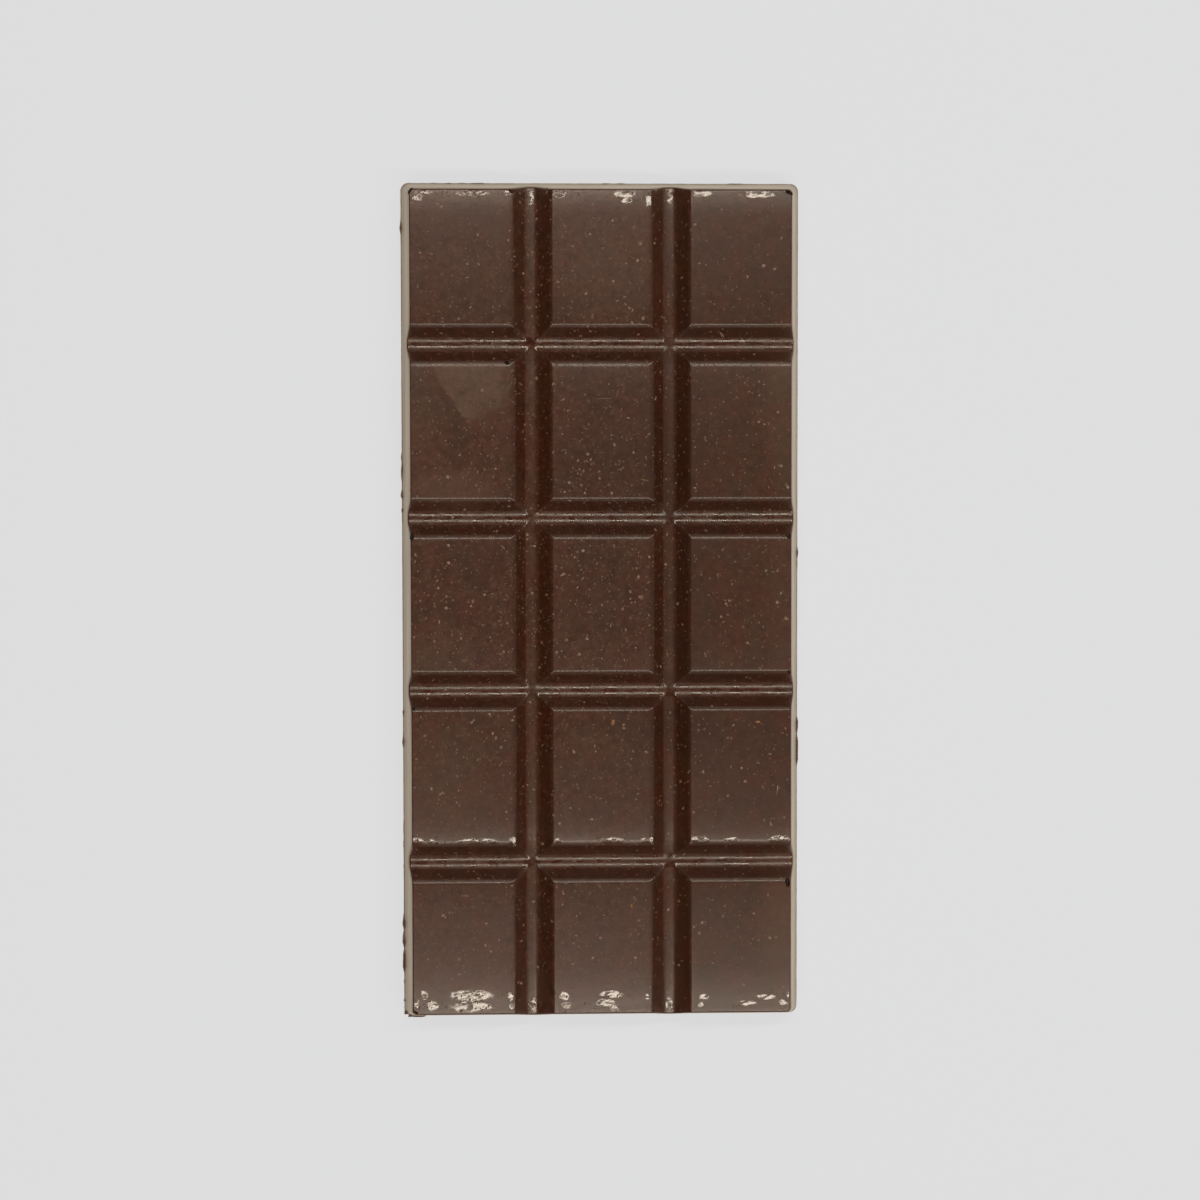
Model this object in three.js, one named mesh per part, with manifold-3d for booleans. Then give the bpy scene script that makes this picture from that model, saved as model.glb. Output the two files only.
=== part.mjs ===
// A moulded bar of dark chocolate: fifteen facets in three columns and five rows, parted by break
// grooves, with steep drafted walls and a thin ragged lip of flash where the mould was filled.
// Units are millimetres. The bar lies on its flat back at z = 0, its length along Y, facets up.
import * as THREE from "three";
import { mergeVertices } from "three/addons/utils/BufferGeometryUtils.js";
import Module from "manifold-3d";

const wasm = await Module();
wasm.setup();

// Driving dimensions.
const COLUMNS = 3;
const ROWS = 5;
const PITCH_ACROSS = 25.8; // from facet to facet along X
const PITCH_ALONG = 32.3; // from facet to facet along Y
const FACE_WIDTH = 71.0; // the moulded face, between the tops of its walls
const FACE_LENGTH = 153.9;
const THICKNESS = 7.6;
const DRAFT = 1.9; // the walls run out this far on their way down
const FACE_CORNER_RADIUS = 0.8; // of the four corners, seen from above
const FOOT_CORNER_RADIUS = 1.5;
const EDGE_RADIUS = 0.6; // of the edge between the face and the walls

// The break groove: two slopes, a round floor and rounded shoulders.
const GROOVE_WIDTH = 8.1; // from shoulder to shoulder
const GROOVE_SLOPE = THREE.MathUtils.degToRad(45);
const FLOOR_RADIUS = 2.4;
const SHOULDER_RADIUS = 1.7;

// The lip of flash round the foot.
const LIP_REACH = 0.45; // the furthest that it stands out from the foot
const LIP_RAGGEDNESS = 0.55; // the part of its reach that comes and goes
const LIP_THICKNESS = 0.35;
const LIP_WAVE = 6; // from one ragged tongue to the next
const LIP_BEAT = 2.7; // every so many tongues are longer

// Air bubbles that the mould left in the face, all at corners of facets. Each has the facet's column
// and row, counted from the left and from the far end, the way from the facet's middle to the
// corner, the bubble's half length and half width, and how far it turns from the Y axis.
const BUBBLES = [
  { column: 0, row: 0, side: -1, end: 1, long: 0.8, wide: 0.4, turn: -37 },
  { column: 0, row: 0, side: 1, end: 1, long: 0.42, wide: 0.3, turn: 57 },
  { column: 2, row: 0, side: 1, end: 1, long: 0.85, wide: 0.45, turn: 69 },
  { column: 0, row: 1, side: 1, end: 1, long: 0.55, wide: 0.35, turn: 55 },
  { column: 0, row: 2, side: -1, end: 1, long: 0.65, wide: 0.42, turn: -11 },
  { column: 2, row: 4, side: 1, end: 1, long: 0.98, wide: 0.5, turn: 6 },
  { column: 0, row: 4, side: -1, end: -1, long: 0.7, wide: 0.35, turn: 63 },
];
const BUBBLE_INSET = 0.35; // from the facet's corner to the bubble's middle, along X and Y

// Fineness of the facets that stand for round surfaces.
const ARC_SEGMENTS = 4;
const CORNER_SEGMENTS = 5;
const BUBBLE_SEGMENTS = 10;
const LIP_STEP = 1.6; // length of one straight stretch of the lip's outline
const OVERCUT = 2; // how far a cutter runs past what it cuts

const wallAngle = Math.atan(DRAFT / THICKNESS);
const grooveDepth =
  SHOULDER_RADIUS * (1 - Math.cos(GROOVE_SLOPE)) +
  (GROOVE_WIDTH / 2 - (SHOULDER_RADIUS + FLOOR_RADIUS) * Math.sin(GROOVE_SLOPE)) * Math.tan(GROOVE_SLOPE) +
  FLOOR_RADIUS * (1 - Math.cos(GROOVE_SLOPE));

// A closed geometry as a solid that can be joined and cut.
function solidFrom(geometry) {
  geometry.deleteAttribute("normal");
  geometry.deleteAttribute("uv");
  const merged = mergeVertices(geometry, 1e-4);
  return new wasm.Manifold(
    new wasm.Mesh({
      numProp: 3,
      vertProperties: merged.getAttribute("position").array,
      triVerts: new Uint32Array(merged.getIndex().array),
    }),
  );
}

// A solid as a geometry that a mesh can show.
function geometryFrom(solid) {
  const { vertProperties, triVerts } = solid.getMesh();
  const geometry = new THREE.BufferGeometry();
  geometry.setAttribute("position", new THREE.BufferAttribute(vertProperties, 3));
  geometry.setIndex(new THREE.BufferAttribute(triVerts, 1));
  geometry.computeVertexNormals();
  return geometry;
}

// A rectangle with round corners, centred on the origin, drawn anticlockwise.
function roundedRectangle(halfWidth, halfLength, radius) {
  const x = halfWidth - radius;
  const y = halfLength - radius;
  const shape = new THREE.Shape();
  shape.moveTo(halfWidth, -y);
  shape.lineTo(halfWidth, y);
  shape.absarc(x, y, radius, 0, Math.PI / 2);
  shape.lineTo(-x, halfLength);
  shape.absarc(-x, y, radius, Math.PI / 2, Math.PI);
  shape.lineTo(-halfWidth, -y);
  shape.absarc(-x, -y, radius, Math.PI, 1.5 * Math.PI);
  shape.lineTo(x, -halfLength);
  shape.absarc(x, -y, radius, 1.5 * Math.PI, 2 * Math.PI);
  return shape;
}

// A closed skin over outlines that lie one above the other, given from the lowest to the highest.
function loft(levels) {
  const count = levels[0].outline.length;
  const positions = levels.flatMap(({ outline, z }) => outline.flatMap(({ x, y }) => [x, y, z]));
  const index = [];
  for (let level = 0; level + 1 < levels.length; level++) {
    for (let i = 0; i < count; i++) {
      const a = level * count + i;
      const b = level * count + ((i + 1) % count);
      index.push(a, b, b + count, a, b + count, a + count);
    }
  }
  const top = (levels.length - 1) * count;
  for (const [a, b, c] of THREE.ShapeUtils.triangulateShape(levels[0].outline, [])) {
    index.push(c, b, a);
  }
  for (const [a, b, c] of THREE.ShapeUtils.triangulateShape(levels.at(-1).outline, [])) {
    index.push(top + a, top + b, top + c);
  }
  const geometry = new THREE.BufferGeometry();
  geometry.setAttribute("position", new THREE.Float32BufferAttribute(positions, 3));
  geometry.setIndex(index);
  return geometry;
}

// The slab before its grooves: drafted walls that turn into the flat face over a rounded edge.
function slab() {
  const level = (inset, z) => {
    const widening = (FOOT_CORNER_RADIUS - FACE_CORNER_RADIUS) / DRAFT;
    const radius = FACE_CORNER_RADIUS - inset * (inset < 0 ? widening : 1);
    const shape = roundedRectangle(FACE_WIDTH / 2 - inset, FACE_LENGTH / 2 - inset, radius);
    return { outline: shape.getPoints(CORNER_SEGMENTS).slice(0, -1), z };
  };
  const edgeInset = EDGE_RADIUS * Math.tan((Math.PI / 2 - wallAngle) / 2);
  const levels = [level(-DRAFT, 0)];
  for (let i = 0; i <= ARC_SEGMENTS; i++) {
    const lean = THREE.MathUtils.lerp(wallAngle, Math.PI / 2, i / ARC_SEGMENTS);
    const inset = edgeInset - EDGE_RADIUS * Math.cos(lean);
    levels.push(level(inset, THICKNESS - EDGE_RADIUS * (1 - Math.sin(lean))));
  }
  return solidFrom(loft(levels));
}

// What a groove takes away, as a section: u runs across the groove, and 0 is the height of the face.
function grooveSection() {
  const half = GROOVE_WIDTH / 2;
  const up = Math.PI / 2;
  const section = new THREE.Shape();
  section.moveTo(-half, OVERCUT);
  section.absarc(-half, -SHOULDER_RADIUS, SHOULDER_RADIUS, up, up - GROOVE_SLOPE, true);
  section.absarc(0, FLOOR_RADIUS - grooveDepth, FLOOR_RADIUS, -up - GROOVE_SLOPE, -up + GROOVE_SLOPE);
  section.absarc(half, -SHOULDER_RADIUS, SHOULDER_RADIUS, up + GROOVE_SLOPE, up, true);
  section.lineTo(half, OVERCUT);
  section.closePath();
  return section;
}

// A cutter for one groove. It runs along Y, or along X if it is turned, at its place on the other axis.
function grooveCutter(place, crosswise) {
  const run = (crosswise ? FACE_WIDTH : FACE_LENGTH) + 2 * (DRAFT + OVERCUT);
  const geometry = new THREE.ExtrudeGeometry(grooveSection(), {
    depth: run,
    bevelEnabled: false,
    curveSegments: ARC_SEGMENTS * 2,
  });
  geometry.translate(0, 0, -run / 2);
  geometry.rotateX(Math.PI / 2);
  geometry.translate(place, 0, THICKNESS);
  if (crosswise) geometry.rotateZ(Math.PI / 2);
  return solidFrom(geometry);
}

// The places of the grooves between a number of facets, centred on the origin.
function groovePlaces(facets, pitch) {
  return Array.from({ length: facets - 1 }, (_, i) => (i + 1 - facets / 2) * pitch);
}

// How far the lip stands out at a point of the foot: it comes and goes along each side, reaches
// furthest at the side's middle and is steady round the corners.
function lipReach(along, half) {
  const steady = LIP_REACH * (1 - LIP_RAGGEDNESS);
  const turns = (2 * Math.PI * along) / LIP_WAVE;
  const tongue = Math.max((Math.cos(turns) + Math.cos(turns / LIP_BEAT)) / 2, 0);
  const fade = Math.sqrt(Math.max(1 - Math.abs(along) / (half - FOOT_CORNER_RADIUS), 0));
  return steady + LIP_REACH * LIP_RAGGEDNESS * tongue * fade;
}

// The thin lip round the foot, as a sheet under the whole slab.
function lip() {
  const halfWidth = FACE_WIDTH / 2 + DRAFT;
  const halfLength = FACE_LENGTH / 2 + DRAFT;
  const foot = roundedRectangle(halfWidth, halfLength, FOOT_CORNER_RADIUS);
  const steps = Math.round(foot.getLength() / LIP_STEP);
  const outline = Array.from({ length: steps }, (_, i) => {
    const point = foot.getPointAt(i / steps);
    const tangent = foot.getTangentAt(i / steps);
    const lengthwise = Math.abs(tangent.y) > Math.abs(tangent.x);
    const reach = lengthwise ? lipReach(point.y, halfLength) : lipReach(point.x, halfWidth);
    return point.add(new THREE.Vector2(tangent.y, -tangent.x).multiplyScalar(reach));
  });
  return solidFrom(
    new THREE.ExtrudeGeometry(new THREE.Shape(outline), { depth: LIP_THICKNESS, bevelEnabled: false }),
  );
}

// One end of a facet along an axis: the middle of a groove's shoulder, or the edge of the face.
function facetEnd(place, facets, pitch, face, way) {
  const atFaceEdge = way < 0 ? place === 0 : place === facets - 1;
  if (atFaceEdge) return (way * face) / 2;
  const opening = GROOVE_WIDTH - SHOULDER_RADIUS * Math.sin(GROOVE_SLOPE);
  return (place - (facets - 1) / 2) * pitch + (way * (pitch - opening)) / 2;
}

// A bubble's hollow, a stretched ball at the corner of its facet.
function bubble({ column, row, side, end, long, wide, turn }) {
  const rowFromNear = ROWS - 1 - row;
  const x = facetEnd(column, COLUMNS, PITCH_ACROSS, FACE_WIDTH, side) - side * BUBBLE_INSET;
  const y = facetEnd(rowFromNear, ROWS, PITCH_ALONG, FACE_LENGTH, end) - end * BUBBLE_INSET;
  const geometry = new THREE.SphereGeometry(1, BUBBLE_SEGMENTS, BUBBLE_SEGMENTS / 2);
  geometry.scale(wide, long, wide);
  geometry.rotateZ(THREE.MathUtils.degToRad(turn));
  geometry.translate(x, y, THICKNESS);
  return solidFrom(geometry);
}

function chocolateBar() {
  let bar = slab().add(lip());
  for (const x of groovePlaces(COLUMNS, PITCH_ACROSS)) bar = bar.subtract(grooveCutter(x, false));
  for (const y of groovePlaces(ROWS, PITCH_ALONG)) bar = bar.subtract(grooveCutter(y, true));
  for (const hollow of BUBBLES) bar = bar.subtract(bubble(hollow));
  const mesh = new THREE.Mesh(
    geometryFrom(bar),
    new THREE.MeshStandardMaterial({ color: 0x49302a, roughness: 0.35, metalness: 0 }),
  );
  mesh.name = "chocolate_bar";
  return mesh;
}

const part = new THREE.Group();
part.add(chocolateBar());

export default part;
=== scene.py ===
"""A moulded bar of dark chocolate, lying facets up on a pale table under soft studio light.

A plain slab is laid out as a lattice of lines, close together where the bar has its grooves and
edges. A mould tree of geometry nodes presses the grooves, the slightly full facets, their rolls
along the bar's ends and the fourth row's near edge, the air bubbles and the ragged lip of flash
into it. Scatter trees sow the cocoa flecks, and the largest ones are placed one by one.
Sizes are in metres, +Y runs along the bar, +Z out of its moulded face.
"""
import math
import random

import bmesh
import bpy
from mathutils import Euler, Matrix, Vector


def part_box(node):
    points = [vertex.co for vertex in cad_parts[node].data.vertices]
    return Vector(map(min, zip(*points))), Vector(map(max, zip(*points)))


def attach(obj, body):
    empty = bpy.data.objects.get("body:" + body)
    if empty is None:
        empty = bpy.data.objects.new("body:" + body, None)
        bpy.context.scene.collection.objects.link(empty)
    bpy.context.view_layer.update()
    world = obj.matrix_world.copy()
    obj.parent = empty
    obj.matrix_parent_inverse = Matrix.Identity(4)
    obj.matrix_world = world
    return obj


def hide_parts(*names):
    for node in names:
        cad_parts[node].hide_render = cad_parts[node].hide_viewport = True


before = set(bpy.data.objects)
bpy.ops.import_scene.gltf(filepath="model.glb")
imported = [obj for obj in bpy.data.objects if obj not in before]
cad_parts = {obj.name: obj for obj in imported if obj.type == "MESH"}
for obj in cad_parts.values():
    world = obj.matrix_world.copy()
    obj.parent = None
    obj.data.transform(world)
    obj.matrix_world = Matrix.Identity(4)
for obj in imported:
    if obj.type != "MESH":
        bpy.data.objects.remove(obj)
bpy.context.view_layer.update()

MM = 0.001

# The bar, as the frame gives it.
BAR_LOW, BAR_HIGH = (Vector(corner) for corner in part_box("chocolate_bar"))
THICKNESS = BAR_HIGH.z - BAR_LOW.z

# The moulded face and its walls.
FACE_WIDTH = 71.0 * MM
FACE_LENGTH = 153.9 * MM
DRAFT = 1.9 * MM
FACE_CORNER_RADIUS = 0.8 * MM
FOOT_CORNER_RADIUS = 1.5 * MM
EDGE_RADIUS = 0.35 * MM
COLUMNS = 3
ROWS = 5
PITCH_ACROSS = 25.8 * MM
PITCH_ALONG = 32.3 * MM

# The break grooves, from their middle line out: a wide round floor, a tighter heel, a straight
# slope, the shoulder and a last faint roll of the facet. Each bend has its radius in millimetres
# and its tilts in degrees where it starts and ends.
FLOOR = (2.5, 0, 27)
HEEL = (1.1, 27, 45)
SLOPE_RUN = 1.5 * MM
SHOULDER = (1.2, 45, 20)
BRIM = (2.75, 20, 0)
CROSS_SHIFT = -0.1 * MM  # the crosswise grooves lie this much off their even places
FACET_HALF = 0.385  # how far a facet reaches from its middle along Y, as a share of the pitch

# Distances from a groove's middle line: where its sides run wider, where its brims turn crisp and
# by how much, and the foot and top of its banks.
SIDE_STRETCH = (1.2 * MM, 3.2 * MM)
LENGTHWISE_BRIM = (3.4 * MM, 3.9 * MM)
LENGTHWISE_CRISPNESS = 0.4 * MM
CROSSWISE_BRIM = (3.35 * MM, 3.9 * MM)
CROSSWISE_CRISPNESS = 0.39 * MM
BANK_FOOT = (1.2 * MM, 1.6 * MM)
BANK_TOP = (3.5 * MM, 4.0 * MM)

# Stretches along Y over which the grooves change from one row's ways to the next one's.
NEAR_ROW_END = (-53 * MM, -50 * MM)
PAST_NEAREST_GROOVE = (-40 * MM, -36 * MM)
PAST_MIDDLE = (-6 * MM, 6 * MM)
BY_FARTHEST_GROOVE = (30 * MM, 34 * MM)
FAR_ROW_START = (49 * MM, 52 * MM)

# How strongly a facet curves down across and along the bar, and still more along its edges.
CROWN_ACROSS = 1.6
CROWN_ALONG = 3
CROWN_EDGE = 20

# The facets roll down a little this close to the bar's ends.
NEAR_ROLL_WIDTH = 9 * MM
FAR_ROLL_WIDTH = 4.8 * MM
RIM_BAND = (-1.6 * MM, -0.7 * MM)  # from here to here inside the rim, a point joins the wall

# The lip of flash round the foot.
LIP_REACH = (BAR_HIGH.x - FACE_WIDTH / 2 - DRAFT) * 0.9
LIP_THICKNESS = 0.35 * MM

# The slab's lattice: its spacing on facets, near the bar's ends and sides and on the back, how many
# lines the face's round edge has, and the shares of the wall's height that its lines lie at.
STEP_ACROSS = 0.65 * MM
STEP_ALONG = 1.2 * MM
END_STEP = 0.35 * MM
SIDE_STEP = 0.4 * MM
END_ZONE = 4.5 * MM
BACK_STEP = 2.4 * MM
EDGE_LINES = 8
WALL_LINES = (0.86, 0.7, 0.52, 0.34, 0.2, 0.11)
LIP_LINES = (1.3, 0.9, 0.45, 0.0)  # as shares of the lip's thickness

# Air bubbles at corners of facets, in millimetres: middle, half length, half width, depth, and the
# turn in degrees from the Y axis.
BUBBLES = [
    (-35.30, 76.60, 0.86, 0.22, 0.60, -37),
    (-16.65, 76.50, 0.42, 0.26, 0.45, 57),
    (35.10, 76.35, 0.82, 0.30, 0.70, 69),
    (-17.49, 44.85, 0.50, 0.27, 0.70, 55),
    (-35.25, 12.56, 0.66, 0.34, 0.75, -11),
    (34.96, 12.60, 0.50, 0.36, 0.45, 30),
    (35.10, -12.85, 0.32, 0.24, 0.50, 0),
    (-35.08, -19.55, 0.28, 0.22, 0.50, 0),
    (34.92, -52.50, 0.80, 0.40, 0.80, 6),
    (-35.05, -76.45, 0.52, 0.20, 0.42, 63),
]
REFINED = 1.5 * MM  # the lattice is finer than elsewhere this far round a bubble

# Patches of shiny ripples, in millimetres: low and high end along X, then least and greatest
# distance in from the near end, from the far end, and from a line along the fourth row's near edge.
NEAR_RIPPLES = [
    (-33.8, -32.6, 2.8, 4.2),
    (-35.2, -34.3, 1.3, 2.8),
    (-32.8, -30.9, 0.6, 2.4),
    (-28.2, -20.8, 2.5, 4.4),
    (-28.0, -21.0, 0.4, 2.2),
    (-17.7, -16.8, 2.5, 4.0),
    (-17.4, -16.6, 0.8, 2.2),
    (-13.6, -12.1, 0.0, 2.3),
    (-8.2, -6.4, 2.7, 4.0),
    (-7.7, -5.9, 0.9, 2.1),
    (-0.3, 3.8, 2.9, 4.0),
    (-1.2, 2.4, 1.3, 2.6),
    (1.5, 3.1, 0.3, 1.3),
    (8.3, 9.0, 2.4, 3.4),
    (12.0, 13.2, 0.0, 2.3),
    (18.3, 20.1, 2.3, 3.3),
    (18.0, 19.0, 0.9, 1.9),
    (29.5, 32.7, 2.3, 3.2),
    (25.6, 28.9, 1.3, 2.1),
    (33.4, 34.6, 1.2, 2.1),
    (34.8, 35.3, 2.5, 3.6),
]
FAR_RIPPLES = [
    (-34.2, -31.2, 0.2, 1.0),
    (-34.6, -33.0, 1.1, 2.2),
    (-26.6, -21.2, 0.3, 1.3),
    (-17.8, -16.4, 0.2, 1.1),
    (-13.6, -12.4, 0.0, 2.6),
    (-9.1, -6.5, 0.3, 1.6),
    (2.6, 6.3, 0.3, 1.5),
    (3.9, 5.7, 1.6, 2.6),
    (8.2, 9.4, 1.3, 3.2),
    (12.4, 13.4, 0.0, 2.4),
    (16.9, 20.6, 0.2, 1.3),
    (26.5, 32.3, 0.3, 1.5),
]
EDGE_RIPPLES = [
    (-35.6, -33.5, -0.8, 0.8),
    (-32.4, -30.5, -0.6, 0.5),
    (-26.8, -19.6, -0.7, 0.5),
    (-17.4, -15.8, -0.8, 0.8),
    (-9.0, -7.4, -0.5, 0.4),
    (-0.2, 3.9, -0.7, 0.5),
    (7.2, 9.9, -0.6, 0.5),
    (16.6, 19.8, -0.8, 0.7),
    (23.2, 25.6, -0.4, 0.4),
    (31.7, 35.0, -0.8, 0.8),
]
RIPPLED_EDGE = -44.4 * MM
EDGE_ROLL_PAST = 1.5 * MM  # the facets' roll is deepest this far past that line
FOURTH_ROW_START = (-52 * MM, -47 * MM)

# How far the ripples tip the surface along Y, as a slope: on the flat, near the far end, where the
# facets roll down, along the fourth row's edge, and how much from crest to crest.
RIPPLE_TILT = 0.1
FAR_EXTRA_TILT = 0.018
ROLL_TILT = 0.045
FAR_ROLL_TILT = 0.011
EDGE_TILT = 0.022
RIPPLE_SWAY = 0.13
RIPPLE_LOW = (4.5 * MM, 4.9 * MM)  # below this height there are none

# Wide soft patches of facet where the chocolate is a bit hazier, and where it is a bit deeper, in
# millimetres: middle, half width, half length and share. The three lighter ones along the right
# edge are painted sheen.
HAZES_AND_SHEEN = [
    (-27.5, 21.3, 8.0, 4.0, 0.3),
    (-33.0, 31.0, 4.0, 11.0, 0.12),
    (-30.0, -33.0, 9.0, 12.0, 0.1),
    (-31.0, -7.5, 7.0, 5.0, 0.08),
    (2.0, 61.0, 9.0, 9.0, 0.1),
    # these three, along the right edge, are painted sheen
    (36.0, 36.0, 6.0, 18.0, 0.22),
    (36.5, 0.0, 6.0, 16.0, 0.14),
    (36.5, -60.0, 7.0, 20.0, 0.22),
]
DEEPER = [
    (2.0, 26.0, 11.0, 14.0, 0.22),
    (2.0, 2.0, 10.0, 14.0, 0.12),
    (14.5, 30.0, 6.0, 18.0, 0.26),
    (15.5, -1.0, 6.0, 16.0, 0.16),
    (15.0, -23.0, 7.0, 6.0, 0.3),
    (6.0, -22.0, 5.0, 4.0, 0.2),
    (-23.0, 8.0, 6.0, 6.0, 0.2),
]

# Stretches of foot with crumbs of flash, in millimetres: the way they face, low and high end, and
# how much of the lip's reach they have.
LIP_STRETCHES = [
    ("left", -76.0, -42.0, 1.0),
    ("left", -26.5, -20.0, 0.6),
    ("left", 15.5, 20.5, 0.8),
    ("left", 21.5, 28.0, 0.5),
    ("left", 69.0, 72.5, 0.7),
    ("right", 6.0, 9.5, 0.7),
    ("right", -30.0, -22.5, 0.8),
    ("far", -31.4, -22.0, 0.2),
    ("far", -18.8, -16.3, 0.25),
    ("far", 0.5, 5.0, 0.2),
    ("far", 21.5, 26.7, 0.2),
    ("near", -37.0, -33.6, 1.2),
]

# The hazy smudge on the left facet of the second row: a corner, and the slopes of its two edges.
SMUDGE_X = -24.5 * MM
SMUDGE_Y = 33.1 * MM
SLANT_SLOPE = 1.4
SLANT_LENGTH = 1.72  # how long the slant is for one across
FOOT_SLOPE = 0.5
SMUDGE_LEFT = -31.6 * MM
SMUDGE_RIGHT = -16.5 * MM
SMUDGE_TOP = 45.5 * MM

# The largest flecks on the facets, in millimetres: middle, length, width, and the turn in degrees
# from the X axis.
PALE_MARKS = [
    (32.9, -35.2, 2.2, 0.32, 84),
    (34.2, -40.2, 0.75, 0.6, -30),
    (18.8, -60.0, 0.8, 0.6, 57),
    (-3.6, 4.7, 1.1, 0.42, 43),
    (-7.3, 5.5, 1.2, 0.5, 29),
    (29.3, 33.9, 0.7, 0.5, -23),
    (31.7, -41.4, 1.0, 0.35, -68),
    (-24.9, 60.55, 0.8, 0.38, 11),
    (19.4, 30.45, 0.7, 0.4, -56),
    (22.7, -58.8, 0.6, 0.5, 88),
    (-1.2, -27.6, 0.55, 0.5, 59),
    (-6.2, 36.0, 0.65, 0.35, 73),
    (32.9, 6.1, 0.6, 0.35, 57),
    (-2.0, 26.9, 0.6, 0.4, 58),
    (8.8, 4.0, 0.85, 0.35, 46),
    (29.2, -29.9, 0.85, 0.3, -18),
    (17.2, -60.7, 0.7, 0.4, -63),
    (-18.4, 10.7, 0.95, 0.4, -42),
    (17.4, 21.6, 0.6, 0.3, 4),
    (27.2, 60.8, 0.6, 0.4, -67),
    (34.4, -23.4, 0.7, 0.3, -56),
    (-6.0, -38.2, 0.6, 0.35, 4),
    (32.3, 25.4, 0.5, 0.45, -88),
    (8.2, -27.7, 0.5, 0.42, -59),
    (22.6, 50.1, 1.4, 0.5, -60),
    (-0.1, 38.2, 4.4, 0.13, 1),
    (2.9, 39.0, 1.5, 0.22, 72),
    (-7.2, 38.0, 1.2, 0.3, 25),
]
RUST_MARKS = [
    (2.05, -22.2, 1.35, 0.85, 70),
    (29.2, -22.2, 1.1, 0.5, 3),
    (8.0, 23.1, 2.0, 0.3, -9),
    (-19.0, -9.3, 0.8, 0.42, 6),
    (-24.9, 34.0, 0.6, 0.35, 13),
    (5.5, -56.7, 0.7, 0.5, -76),
]

# Sown flecks: how many to a square metre, least and greatest length, and a first seed.
FAINT_FLECKS = (450000, 0.24 * MM, 0.6 * MM, 51)
PALE_FLECKS = (45000, 0.32 * MM, 0.8 * MM, 61)
FLECK_FLATNESS = 0.25
MARK_HEIGHT = 0.07 * MM

# Light and dark tone of each kind of cocoa, in display values like the browns below.
COCOA_TONES = {
    "faint_cocoa": ((108, 80, 68), (82, 55, 43)),
    "pale_cocoa": ((144, 118, 106), (104, 79, 67)),
    "rust_cocoa": ((148, 104, 70), (112, 74, 48)),
}

# The browns of the chocolate, in the usual 0 to 255 display values.
BROWNS = {
    "plain": (64, 35, 20),
    "redder": (74, 31, 14),
    "lighter mottle": (83, 49, 35),
    "darker mottle": (50, 21, 6),
    "pale dots": (94, 62, 47),
    "dark dots": (43, 17, 5),
    # hazy film, and painted sheen along the right edge
    "haze and sheen": (112, 84, 70),
    "deeper": (44, 18, 6),
    # painted shade on the grooves' sloping sides
    "painted bank shade": (44, 20, 9),
    "smudge": (94, 65, 52),
    # painted shade in the bubble hollows
    "bubble": (34, 13, 6),
    "broken flash": (124, 96, 80),
}

# Roughness of the plain chocolate, what each finish adds to it, and what ripples and sparks take off.
PLAIN_DULLNESS = 0.31
MOTTLE_DULLNESS = 0.06
SMUDGE_DULLNESS = 0.05
BROKEN_DULLNESS = 0.2
BUBBLE_DULLNESS = 0.3
RIPPLE_SHINE = 0.24
SPARK_SHINE = 0.22

# The soft lights: name, start, end and width in metres, and brightness as seen from the bar.
LIGHTS = [
    ("far_strip", (-0.45, 0.38, 0.93), (1.0, 0.55, 0.93), 0.075, 9.5),
    ("near_strip", (-0.45, -0.42, 0.93), (1.0, -0.58, 0.93), 0.075, 9.5),
    ("far_core", (-0.448, 0.378, 0.925), (0.995, 0.547, 0.925), 0.026, 17.3),
    ("near_core", (-0.448, -0.418, 0.925), (0.995, -0.577, 0.925), 0.026, 17.3),
    ("far_wall", (-0.8, 1.2, 0.7), (0.8, 1.2, 0.7), 0.7, 0.25),
    ("near_wall", (-0.8, -1.2, 0.7), (0.8, -1.2, 0.7), 0.7, 0.25),
    ("right_wall", (1.4, -0.8, 0.75), (1.4, 0.8, 0.75), 0.8, 0.2125),
]

# Colours of the studio, as linear light: what the camera sees, and what lights the bar.
LIGHT_TINT = (1.0, 0.9, 0.75)
TABLE_COLOUR = (0.12, 0.135, 0.17, 1)
TABLE_GLOW = (0.85, 0.74, 0.57, 1)
TABLE_LOOK = (0.638, 0.638, 0.636, 1)
ROOM_LOOK = (0.72, 0.72, 0.72, 1)
ROOM_GLOW = (0.05, 0.043, 0.031, 1)

# The camera: focal length in millimetres, place, with its height above the face, and turns in
# degrees.
LENS = 72.49
CAMERA_X = -14.72 * MM
CAMERA_Y = 19.68 * MM
CAMERA_HEIGHT = 450 * MM
CAMERA_TURNS = (-2.406, -1.839, -0.093)


# ---------------- numbers worked out by nodes


def math_method(operation, turned=False):
    """One operation of the math node as a method, with the field first or, turned, last."""

    def method(field, *others):
        values = (*others, field) if turned else (field, *others)
        return maths(field.tree, operation, *values)

    return method


class Field:
    """A number that varies over a mesh or a surface, worked out by the nodes of one tree."""

    def __init__(self, tree, socket):
        self.tree = tree
        self.socket = socket

    __add__ = math_method("ADD")
    __sub__ = math_method("SUBTRACT")
    __mul__ = math_method("MULTIPLY")
    __truediv__ = math_method("DIVIDE")
    __radd__ = math_method("ADD", turned=True)
    __rsub__ = math_method("SUBTRACT", turned=True)
    absolute = math_method("ABSOLUTE")
    above = math_method("GREATER_THAN")
    least = math_method("MINIMUM")
    most = math_method("MAXIMUM")
    most_smoothly = math_method("SMOOTH_MAX")
    root = math_method("SQRT")
    rounded = math_method("ROUND")
    sign = math_method("SIGN")

    def squared(self):
        return self * self

    def ramp(self, low, high):
        """0 below low, 1 above high and a soft step between them."""
        inputs = {"Value": self, "From Min": low, "From Max": high}
        node = new_node(self.tree, "ShaderNodeMapRange", inputs, interpolation_type="SMOOTHSTEP")
        return Field(self.tree, node.outputs["Result"])


def join(tree, value, socket):
    """Links a field or another socket to a socket, or sets the socket to a plain value."""
    if isinstance(value, Field):
        value = value.socket
    if isinstance(value, bpy.types.NodeSocket):
        tree.links.new(value, socket)
    else:
        socket.default_value = value


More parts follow.
